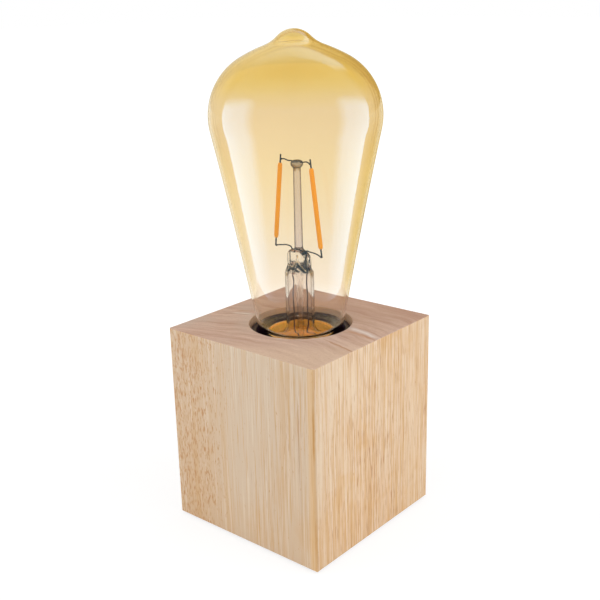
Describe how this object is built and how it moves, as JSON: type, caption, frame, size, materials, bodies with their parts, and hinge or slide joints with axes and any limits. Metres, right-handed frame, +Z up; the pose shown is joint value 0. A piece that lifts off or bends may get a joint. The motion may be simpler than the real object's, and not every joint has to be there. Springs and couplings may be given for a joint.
{
  "type": "table lamp",
  "caption": "Bare bulb table lamp: a wooden block with a screw-base filament bulb in a lamp holder sunk into its top.",
  "frame": {"origin": "middle of the underside of the felt pad, which is the middle of the object's footprint", "axes": "+Z up along the bulb's axis, -Y to the front of the block, +Y to the back with the cord inlet, +X to the right seen from the front"},
  "size_m": [0.0726, 0.0726, 0.1915],
  "materials": {
    "wood": "oiled, straight grain",
    "felt": "felt",
    "cover_plastic": "matt",
    "screw_steel": "zinc plated",
    "bushing_plastic": "matt",
    "plated_steel": "zinc plated",
    "holder_black": "glossy moulded",
    "carrier_ceramic": "unglazed",
    "shell_brass": "drawn sheet",
    "contact_bronze": "spring strip",
    "tip_solder": "solder",
    "insulator_black": "glassy black",
    "cap_metal": "brass plated",
    "cement": "baked cement",
    "amber_glass": "clear amber",
    "clear_glass": "clear",
    "filament_coating": "orange phosphor coating",
    "support_wire": "drawn nickel wire",
    "copper_wire": "copper coated wire",
    "board_laminate": "glass-fibre laminate",
    "capacitor_sleeve": "shrink sleeve",
    "rectifier_resin": "moulded resin",
    "resistor_lacquer": "lacquer",
    "wire_sleeve": "enamel"
  },
  "bodies": {
    "base": {"wood_block": "wood", "felt_pad": "felt", "base_cover": "cover_plastic", "cover_screws": "screw_steel", "cord_bushing": "bushing_plastic", "threaded_nipple": "plated_steel", "nipple_nut": "plated_steel", "nipple_washer": "plated_steel", "holder_cap": "holder_black", "nipple_lock_screw": "screw_steel", "holder_skirt": "holder_black", "contact_carrier": "carrier_ceramic", "screw_shell": "shell_brass", "shell_rivets": "shell_brass", "centre_contact": "contact_bronze", "side_contact": "contact_bronze", "terminal_blocks": "shell_brass", "terminal_screws": "screw_steel"},
    "bulb_tip": {"tip_contact": "tip_solder"},
    "bulb": {"cap_insulator": "insulator_black", "screw_cap": "cap_metal", "cap_cement": "cement", "glass_envelope": "amber_glass", "stem_tube": "clear_glass", "exhaust_tube": "clear_glass", "stem_press": "clear_glass", "stem_rod": "clear_glass", "filament_left": "filament_coating", "filament_right": "filament_coating", "filament_pins": "support_wire", "top_wires": "support_wire", "bottom_wires": "support_wire", "lead_wires": "copper_wire", "driver_board": "board_laminate", "driver_capacitor": "capacitor_sleeve", "driver_rectifier": "rectifier_resin", "driver_resistor": "resistor_lacquer", "supply_wires": "wire_sleeve"}
  },
  "joints": [
    {"name": "bulb_lift", "type": "slide", "parent": "base", "child": "bulb_tip", "axis": [0, 0, 1], "range_m": [0, 0.01452]},
    {"name": "bulb_turn", "type": "hinge", "parent": "bulb_tip", "child": "bulb", "pos_m": [0, 0, 0.0521], "axis": [0, 0, 1], "range_deg": [0, 1440]}
  ],
  "couplings": [
    {"joint": "bulb_lift", "follows": "bulb_turn", "m_per_rad": 0.00057757}
  ]
}
